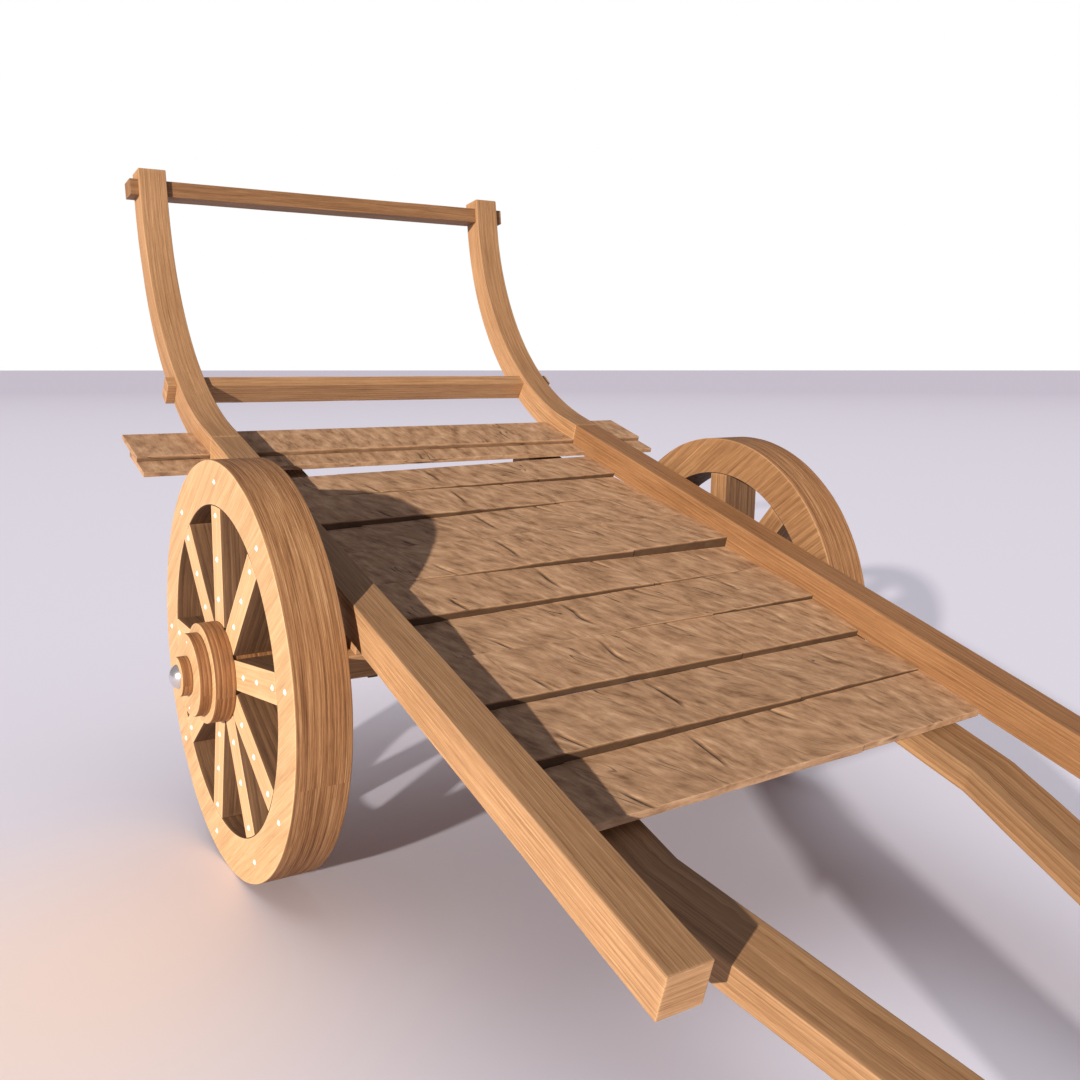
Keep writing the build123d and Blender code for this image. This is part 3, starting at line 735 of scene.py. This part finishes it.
# ---- Wheels: rim --------------------------------------------------------------------------
# A deep flat-sided ring. Its sides are planed pale board, with the grain straight across, and its
# tread is bent round and browned by the road, so its streaks run round the wheel. Its inner side,
# towards the cart, and its bore take darker woods as painted shade.
rim_tones = [(0.4, 0.225, 0.103), (0.5, 0.305, 0.15), (0.58, 0.375, 0.193), (0.66, 0.45, 0.245)]
rim_wood = wood("pale planed rim", rim_tones, ring_spacing=0.03, ring_share=0.14,
                streak_share=0.46, rough=0.6, relief=0.0003, blotches_per_metre=(3.0, 30.0, 30.0),
                streaks_across=330.0, streaks_along=6.0)
tread_tones = [(0.1, 0.042, 0.016), (0.23, 0.104, 0.04), (0.36, 0.185, 0.08), (0.52, 0.32, 0.165)]
tread_wood = wood("browned tread", tread_tones, ring_spacing=0.016, ring_share=0.18,
                  streak_share=0.56, rough=0.66, relief=0.0006,
                  blotches_per_metre=(1.6, 26.0, 26.0), streaks_across=400.0, streaks_along=4.0)
# Painted shade: the inner sides of the wheel parts, which face the cart, get this darker wood.
inner_shade_tones = [(0.13, 0.058, 0.023), (0.22, 0.108, 0.046), (0.3, 0.16, 0.072), (0.39, 0.225, 0.11)]
inner_side_shade_wood = wood("inner side in painted shade", inner_shade_tones, ring_spacing=0.02, ring_share=0.24,
                  streak_share=0.44, rough=0.68)
# Painted shade: the sides and ends of the spokes and the bores of the turned rings get this darkest
# wood.
painted_shade_tones = [(0.075, 0.036, 0.018), (0.13, 0.065, 0.032), (0.19, 0.1, 0.05),
                (0.26, 0.145, 0.078)]
painted_shade_wood = wood("spoke sides in painted shade", painted_shade_tones, ring_spacing=0.018, ring_share=0.25,
                   streak_share=0.45, rough=0.7)
rim_low, rim_high = level_box("wheel_rim_right")
rim_points = level_points("wheel_rim_right")
rim_inner = np.hypot(rim_points[:, 1], rim_points[:, 2]).min()
wheel_radius = (rim_high[1] - rim_low[1]) / 2
wheel_inner, wheel_outer = rim_low[0], rim_high[0]
side_grain = math.radians(-52)
facing_sideways = 0.72


def ring_fibres(mesh, seed):
    """Fibres that run straight across the flat sides of a ring and round its tread and bore."""
    x, y, z = numbers(mesh.vertices, "co", 3)[numbers(mesh.loops, "vertex_index", 1, np.int64)].T
    loops_in_face = numbers(mesh.polygons, "loop_total", 1, np.int64)
    normals = np.repeat(numbers(mesh.polygons, "normal", 3), loops_in_face, axis=0)
    centres = np.repeat(numbers(mesh.polygons, "center", 3), loops_in_face, axis=0)
    with_grain = y * math.cos(side_grain) + z * math.sin(side_grain)
    off_grain = -y * math.sin(side_grain) + z * math.cos(side_grain)
    straight = np.stack([with_grain, off_grain + 0.9, x], axis=1)
    middle = np.arctan2(centres[:, 2], centres[:, 1])
    turn = middle + (np.arctan2(z, y) - middle + math.pi) % math.tau - math.pi
    radius = np.hypot(y, z)
    round_it = np.stack([turn * radius, x + 0.05, radius + 0.02], axis=1)
    flat_side = np.abs(normals[:, :1]) > facing_sideways
    fibres = np.where(flat_side, straight, round_it) + (seed * 0.9, 0, 0)
    mesh.attributes["fibres"].data.foreach_set("vector", fibres.astype(np.float32).ravel())


def side_finishes(mesh, side, outer_wood, round_wood, bore):
    """Finishes for the outer side, tread, inner side and bore of a wheel's piece, in that order. The
    inner side and the bore take woods darkened as painted shade.
    """
    mesh.materials.clear()
    for material in (outer_wood, round_wood, inner_side_shade_wood, painted_shade_wood):
        mesh.materials.append(material)
    outward = numbers(mesh.polygons, "normal", 3)[:, 0] * side
    centres = numbers(mesh.polygons, "center", 3)
    in_bore = np.hypot(centres[:, 1], centres[:, 2]) < bore
    choice = np.where(outward > facing_sideways, 0,
                      np.where(outward < -facing_sideways, 2, np.where(in_bore, 3, 1)))
    mesh.polygons.foreach_set("material_index", choice.astype(np.int32))


def wheel_ring(name, outline, side, round_wood, ease, sectors, hollow, seed):
    """A turned ring of a wheel, on the left or the right of the cart."""
    points, faces, wear = turned_skin(outline, side, ease, sectors, hollow, seed)
    made = skin_object(name, points, faces, rim_wood, points, wear)
    ring_fibres(made.data, seed)
    bore = np.mean([radius for _, radius in outline])
    side_finishes(made.data, side, rim_wood, round_wood, bore)
    return made


for side_name, side in SIDES.items():
    outline = ring_outline(wheel_inner, wheel_outer, rim_inner, wheel_radius)
    rim = wheel_ring(f"wheel_rim_{side_name}_ring", outline, side, tread_wood, ease=0.0035,
                     sectors=224, hollow=0.0007, seed=121 + side)
    fit_piece(rim, f"{side_name}_wheel", "wheel_wood", f"wheel_rim_{side_name}")

# ---- Wheels: hub --------------------------------------------------------------------------
# A bored nave carries the spokes. A thick flange closes them from outside, and a smaller disc
# caps it. All are turned from brown hardwood and oiled.
hub_tones = [(0.1, 0.04, 0.015), (0.2, 0.085, 0.033), (0.31, 0.145, 0.06), (0.43, 0.235, 0.11)]
hub_wood = wood("oiled hub wood", hub_tones, ring_spacing=0.011, ring_share=0.34,
                streak_share=0.42, rough=0.5, relief=0.0004)
hub_bore = arm_radius + 0.00008


def ring_size(node):
    """The nearer and farther end of a turned CAD node along the axle, and its radius."""
    low, high = level_box(node)
    near, far = sorted((abs(low[0]), abs(high[0])))
    return near, far, (high[1] - low[1]) / 2


for side_name, side in SIDES.items():
    for number, kind in enumerate(("nave", "hub_flange", "hub_cap")):
        node = f"{kind}_{side_name}"
        near, far, radius = ring_size(node)
        ring = wheel_ring(node + "_turning", ring_outline(near, far, hub_bore, radius), side,
                          hub_wood, ease=0.003, sectors=128, hollow=0.0003,
                          seed=131 + 5 * number + side)
        fit_piece(ring, f"{side_name}_wheel", "hub_wood", node)

# ---- Wheels: spokes -----------------------------------------------------------------------
# Nine flat slabs as deep as the rim, set at uneven angles by eye. Each is mitred against its
# neighbours at the nave and fits the curve of the rim.
spoke_width = 0.071
spoke_fit = 0.0002
nave_radius = ring_size("nave_right")[2]
spoke_length = rim_inner - nave_radius
spoke_tones = [(0.45, 0.255, 0.12), (0.555, 0.34, 0.17), (0.63, 0.4, 0.21), (0.7, 0.46, 0.25)]
spoke_wood = wood("planed spoke", spoke_tones, ring_spacing=0.02, ring_share=0.2,
                  streak_share=0.44, rough=0.62, relief=0.0003)


def spoke_angles(side_name):
    """The ways the nine spokes point, each from the far end of its tongue."""
    angles = []
    for number in range(1, 10):
        points = level_points(f"spoke_{number}_{side_name}")
        off_axle = np.hypot(points[:, 1], points[:, 2])
        tongue = points[off_axle > off_axle.max() - 0.004].mean(axis=0)
        angles.append(math.atan2(tongue[2], tongue[1]))
    return angles


for side_name, side in SIDES.items():
    angles = spoke_angles(side_name)
    for number, angle in enumerate(angles):
        node = f"spoke_{number + 1}_{side_name}"
        half_after = (angles[(number + 1) % 9] - angle) % math.tau / 2
        half_before = (angle - angles[number - 1]) % math.tau / 2
        worked, stock, faces, wear = squared_timber(
            (spoke_length, spoke_width, wheel_outer - wheel_inner), spacing=(0.009, 0.009), edge=0.003,
            hollow=0.0006, seed=151 + number + 20 * side)
        offset = worked[:, 1] - spoke_width / 2
        mitre = np.where(offset > 0, offset / math.tan(half_after), -offset / math.tan(half_before))
        start = np.sqrt((nave_radius + spoke_fit) ** 2 - offset ** 2)
        start = np.maximum(start, mitre + spoke_fit)
        end = np.sqrt((rim_inner - spoke_fit) ** 2 - offset ** 2)
        radial = start + (end - start) * worked[:, 0] / spoke_length
        y = radial * math.cos(angle) - offset * math.sin(angle)
        z = radial * math.sin(angle) + offset * math.cos(angle)
        points = np.stack([side * (worked[:, 2] + wheel_inner), y, z], axis=1)
        fibres = stock + (0.7 * number + side * 5, 0.04 + 0.01 * number, 0.1)
        spoke = skin_object(node + "_slab", points, faces[:, ::side], spoke_wood, fibres, wear)
        # The spokes' sides and ends take the painted shade wood, and their inner faces the inner
        # painted shade.
        side_finishes(spoke.data, side, spoke_wood, painted_shade_wood, bore=0)
        fit_piece(spoke, f"{side_name}_wheel", "wheel_wood", node)

# ---- Wheels: nails ------------------------------------------------------------------------
# Bright rose-head nails, one in the rim and three in each spoke, with two small ones in the cap.
# Each head was hammered to a blunt point, so no two are quite alike.
head_radius, head_height = 0.0072, 0.0045
cap_head_radius, cap_head_height = 0.0035, 0.0015
shank_radius, shank_length, shank_taper = 0.002, 0.03, 0.008
head_sink, cap_head_sink = 0.0004, 0.0003
rim_nail_inset, tongue_nail_inset, cap_nail_inset = 0.05, 0.022, 0.018
nail_reaches = [wheel_radius - rim_nail_inset, rim_inner - tongue_nail_inset, 0.268, 0.173]
cap_nail_angles = [math.radians(75), math.radians(255)]
_, cap_end, cap_radius = ring_size("hub_cap_right")
cap_reach = cap_radius - cap_nail_inset
steel = patchy("bright nail", base=(0.86, 0.85, 0.84), worn=(0.97, 0.96, 0.95), rough=0.35,
               metal=0.15, patch=0.004)
nail_sides = 10
nail_rings = 6
corners_per_nail = nail_sides * nail_rings + 2


def nail_points(x, reach, angle, radius, height, number):
    """One driven nail: a blunt head over a tapered shank, pointing out along the axle."""
    twist = 2.4 * number
    scatter = math.sin(5.1 * number)
    rings = [(x - shank_length, 0.0004), (x - shank_length + shank_taper, shank_radius),
             (x, shank_radius), (x, radius), (x + height * 0.25, radius * 0.94),
             (x + height * 0.8, radius * 0.3)]
    points = []
    for place, ring_radius in rings:
        for corner in range(nail_sides):
            turn = twist + math.tau * corner / nail_sides
            bulge = 1.0 if corner % 2 == 0 else 0.87
            size = ring_radius * bulge * (1 - 0.06 * scatter * ((corner * 7) % 3))
            points.append((place, size * math.cos(turn), size * math.sin(turn)))
    points.append((x - shank_length - 0.001, 0.0, 0.0))
    points.append((x + height, 0.0006 * scatter, -0.0004 * scatter))
    return np.array(points) + (0, reach * math.cos(angle), reach * math.sin(angle))


def nail_faces(first):
    """The faces of one nail, whose corners are numbered from this one on."""
    faces = []
    tip = first + nail_rings * nail_sides
    for corner in range(nail_sides):
        after = (corner + 1) % nail_sides
        for ring in range(nail_rings - 1):
            row = first + ring * nail_sides
            faces.append((row + corner, row + after, row + nail_sides + after,
                          row + nail_sides + corner))
        last = first + (nail_rings - 1) * nail_sides
        faces.append((tip, first + after, first + corner))
        faces.append((last + corner, last + after, tip + 1))
    return faces


for side_name, side in SIDES.items():
    heads = [(wheel_outer - head_sink, reach, angle, head_radius, head_height)
             for angle in spoke_angles(side_name) for reach in nail_reaches]
    heads += [(cap_end - cap_head_sink, cap_reach, angle, cap_head_radius, cap_head_height)
              for angle in cap_nail_angles]
    points = np.concatenate([nail_points(*head, number) for number, head in enumerate(heads)])
    faces = [face[::side] for number in range(len(heads))
             for face in nail_faces(number * corners_per_nail)]
    nails = mesh_object(f"wheel_nails_{side_name}_heads", (points * (side, 1, 1)).tolist(), faces,
                        steel)
    fit_piece(nails, f"{side_name}_wheel", "nail_steel", f"wheel_nails_{side_name}")

# ---- Collars and dome bolts ---------------------------------------------------------------
# A small wooden collar keeps each wheel on its arm. It is drawn up by a bolt with a polished
# dome for its head, screwed into the end of the arm.
chrome = patchy("polished dome", base=(0.6, 0.57, 0.58), worn=(0.75, 0.73, 0.74), rough=0.26,
                metal=0.9, patch=0.05)
bolt_radius = 0.008
bolt_chamfer = 0.0006
dome_edge_inset, dome_edge_height = 0.0006, 0.0004
dome_steps = 14
dome_sectors = 72
for side_name, side in SIDES.items():
    node = f"collar_{side_name}"
    near, far, radius = ring_size(node)
    collar = wheel_ring(node + "_turning", ring_outline(near, far, arm_bore, radius), side,
                        hub_wood, ease=0.002, sectors=96, hollow=0.0002, seed=171 + side)
    fit_piece(collar, "cart", "hub_wood", node)
    node = f"dome_bolt_{side_name}"
    bolt_end, dome_end, dome_radius = ring_size(node)
    dome_height = dome_end - far
    ball = (dome_radius ** 2 + dome_height ** 2) / (2 * dome_height)
    widest = math.asin(min(1.0, dome_radius / ball))
    profile = [(bolt_end, 0.0), (bolt_end, bolt_radius - bolt_chamfer),
               (bolt_end + bolt_chamfer, bolt_radius), (far, bolt_radius),
               (far, dome_radius - dome_edge_inset), (far + dome_edge_height, dome_radius)]
    for step in range(dome_steps - 1, -1, -1):
        lean = widest * step / dome_steps
        profile.append((dome_end - ball + ball * math.cos(lean), ball * math.sin(lean)))
    profile = np.array(profile)
    turns = np.linspace(0, math.tau, dome_sectors, endpoint=False)[:, None]
    points = np.stack([np.repeat(profile[None, :, 0], dome_sectors, axis=0) * side,
                       profile[:, 1] * np.cos(turns), profile[:, 1] * np.sin(turns)], axis=-1)
    index = np.arange(dome_sectors * len(profile)).reshape(dome_sectors, -1)
    faces = sheet_of_quads(np.vstack([index, index[:1]]), side > 0)
    dome = mesh_object(node + "_polished", points.reshape(-1, 3).tolist(), faces.tolist(), chrome)
    worker = bmesh.new()
    worker.from_mesh(dome.data)
    bmesh.ops.remove_doubles(worker, verts=worker.verts, dist=1e-6)
    worker.to_mesh(dome.data)
    worker.free()
    soften(dome.data, 40)
    fit_piece(dome, "cart", "dome_steel", node)

# ---- Floor, light and camera --------------------------------------------------------------
# A pale floor under a white sky, and low light from the left, warm on the cart and white on the floor.
# Painted light lies in the floor's colour: a broad pale pool round the cart that darkens far off, and
# a warm glow by the left wheel. The camera stands a little above the rail, in front of the left wheel.
half_floor = 3000.0
floor_paint = Finish("pale floor")
floor_paint.feed(floor_paint.shader, {"Roughness": 0.9, "Specular IOR Level": 0.1})
floor = mesh_object("studio_floor", [(-half_floor, -half_floor, 0), (half_floor, -half_floor, 0),
                                     (half_floor, half_floor, 0), (-half_floor, half_floor, 0)],
                    [(0, 1, 2, 3)], floor_paint.material)


def floor_patch(around, colour, middle, size, fade):
    """A soft round patch of painted light in the floor's colour, which has faded out at this distance.
    """
    place = floor_paint.add("ShaderNodeTexCoord", {})["Object"]
    distance = floor_paint.add("ShaderNodeVectorMath", {0: place, 1: middle},
                               operation="DISTANCE")["Value"]
    amount = floor_paint.band(distance, 0.0, size, 1.0, 0.0, interpolation_type=fade)
    return floor_paint.tinted(amount, around, colour)


# Painted light: the floor is paler near the cart and darker far off, with a warm glow left of the left
# wheel.
far_floor_shade, near_floor_light, painted_warm_glow = (0.62, 0.57, 0.615), (0.79, 0.745, 0.785), (0.93, 0.76, 0.66)
pale_floor = floor_patch(far_floor_shade, near_floor_light, (0.0, 2.0, 0.0), 60.0, "LINEAR")
pale_floor = floor_patch(pale_floor, painted_warm_glow, (-1.3, 0.05, 0.0), 1.1, "SMOOTHSTEP")
floor_paint.feed(floor_paint.shader, {"Base Color": pale_floor})


def sun(name, heading, strength, colour, spread, on_floor):
    """A light from one direction, given as the way its rays travel, on the cart or the floor."""
    lamp = bpy.data.lights.new(name, "SUN")
    lamp.energy = strength
    lamp.color = colour
    lamp.angle = math.radians(spread)
    holder = bpy.data.objects.new(name, lamp)
    holder.rotation_euler = Vector(heading).to_track_quat("-Z", "Y").to_euler()
    bpy.context.scene.collection.objects.link(holder)
    lit = bpy.data.collections.new(name + " falls on")
    lit.objects.link(floor)
    lit.collection_objects[0].light_linking.link_state = "INCLUDE" if on_floor else "EXCLUDE"
    holder.light_linking.receiver_collection = lit


low_left = (2.04, 1.27, -0.66)
from_above = (-0.1, -0.15, -1.0)
sun("warm light on the cart", low_left, 5.85, (1.0, 0.9, 0.78), spread=0.9, on_floor=False)
sun("white light on the floor", low_left, 3.3, (1.0, 0.97, 0.97), spread=1.8, on_floor=True)
sun("soft light on the floor", from_above, 1.32, (0.95, 0.97, 1.0), spread=84.0, on_floor=True)

# The sky lights the cart faintly, and is plain white where the camera sees it.
world = bpy.data.worlds.new("white studio")
world.use_nodes = True
bpy.context.scene.world = world
sky_nodes, sky_links = world.node_tree.nodes, world.node_tree.links
sky = sky_nodes["Background"]
seen = sky_nodes.new("ShaderNodeBackground")
blend = sky_nodes.new("ShaderNodeMixShader")
ray = sky_nodes.new("ShaderNodeLightPath")
for background, colour, strength in ((sky, (0.85, 0.84, 0.98), 0.3), (seen, (1.0, 1.0, 1.0), 1.0)):
    background.inputs["Color"].default_value = (*colour, 1.0)
    background.inputs["Strength"].default_value = strength
for number, output in enumerate((ray.outputs["Is Camera Ray"], sky.outputs[0], seen.outputs[0])):
    sky_links.new(output, blend.inputs[number])
sky_links.new(blend.outputs[0], sky_nodes["World Output"].inputs["Surface"])
bpy.context.scene.view_settings.view_transform = "Standard"

camera_data = bpy.data.cameras.new("studio_camera")
camera_data.sensor_width = 36.0
camera_data.lens = 36.693
camera_data.clip_end = 10000.0
camera = bpy.data.objects.new("studio_camera", camera_data)
camera.location = (-1.55193, -2.10841, 1.20495)
camera.rotation_euler = (math.radians(81.221), 0.0, math.radians(-32.441))
bpy.context.scene.collection.objects.link(camera)
bpy.context.scene.camera = camera
